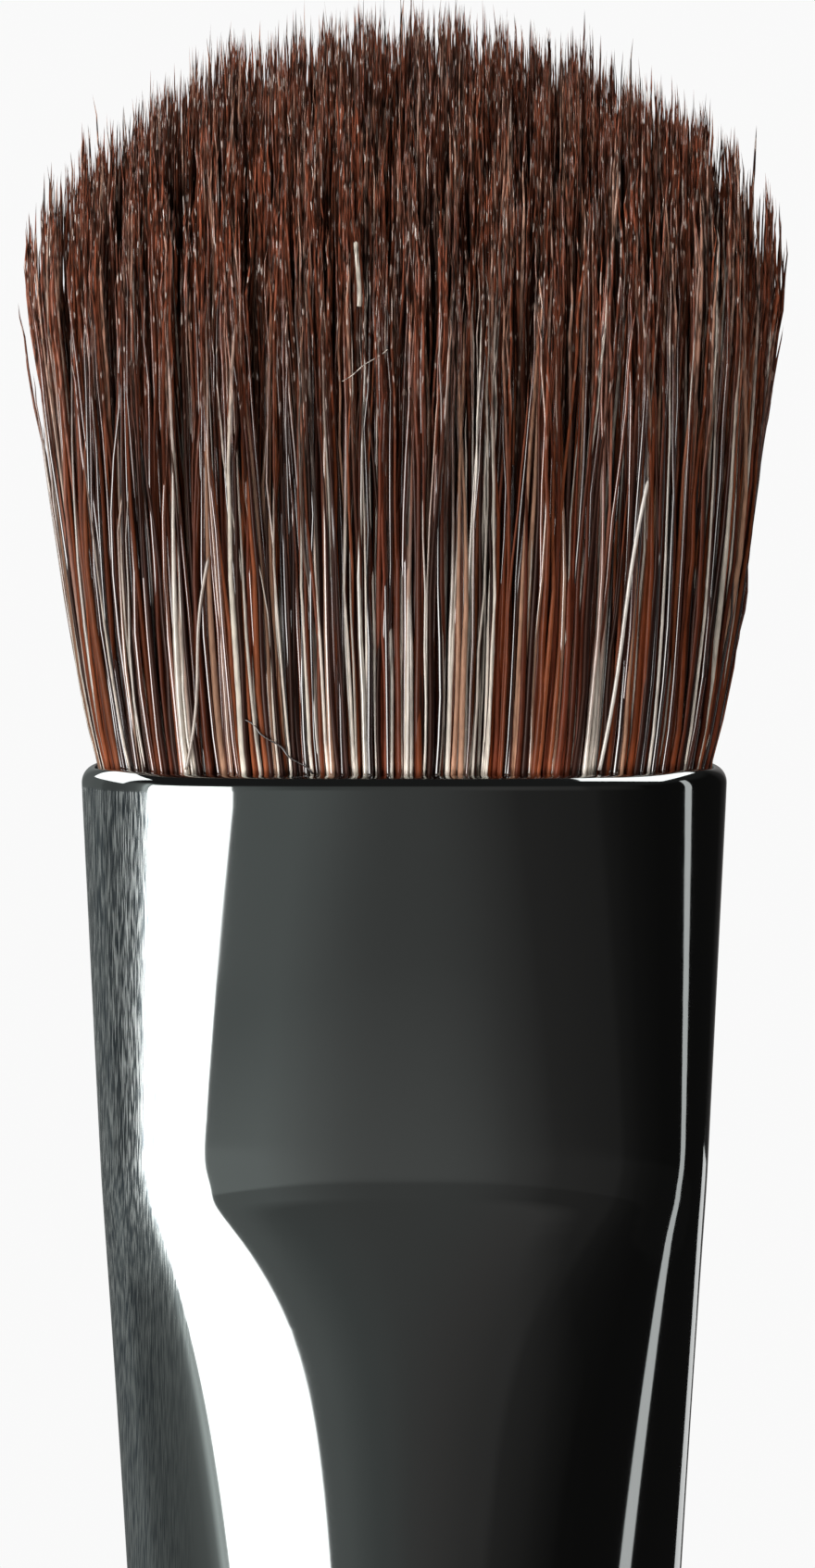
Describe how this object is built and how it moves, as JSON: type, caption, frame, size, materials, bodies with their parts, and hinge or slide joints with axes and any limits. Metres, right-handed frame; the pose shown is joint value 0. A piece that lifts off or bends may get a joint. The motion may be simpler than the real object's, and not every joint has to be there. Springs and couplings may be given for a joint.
{
  "type": "eyeshadow brush",
  "caption": "Flat domed make-up brush: soft brown hair in a pressed dark metal ferrule on a long tapered handle.",
  "frame": {"origin": "on the brush's axis, at the middle of the plain round seat of the ferrule's barrel", "axes": "+Z along the brush towards the tip of the hair, X across the brush's width, Y through its thickness, with the pictured face towards -Y"},
  "size_m": [0.0118, 0.0078, 0.1695],
  "materials": {
    "hair": "satin",
    "thread": "matte",
    "resin": "gloss",
    "ferrule_metal": "polished",
    "glue": "matte",
    "lacquered_wood": "gloss"
  },
  "bodies": {
    "root": {"hair_tuft": "hair", "root_binding": "thread", "epoxy_plug": "resin", "ferrule": "ferrule_metal", "tenon_glue": "glue", "handle": "lacquered_wood"}
  },
  "joints": []
}
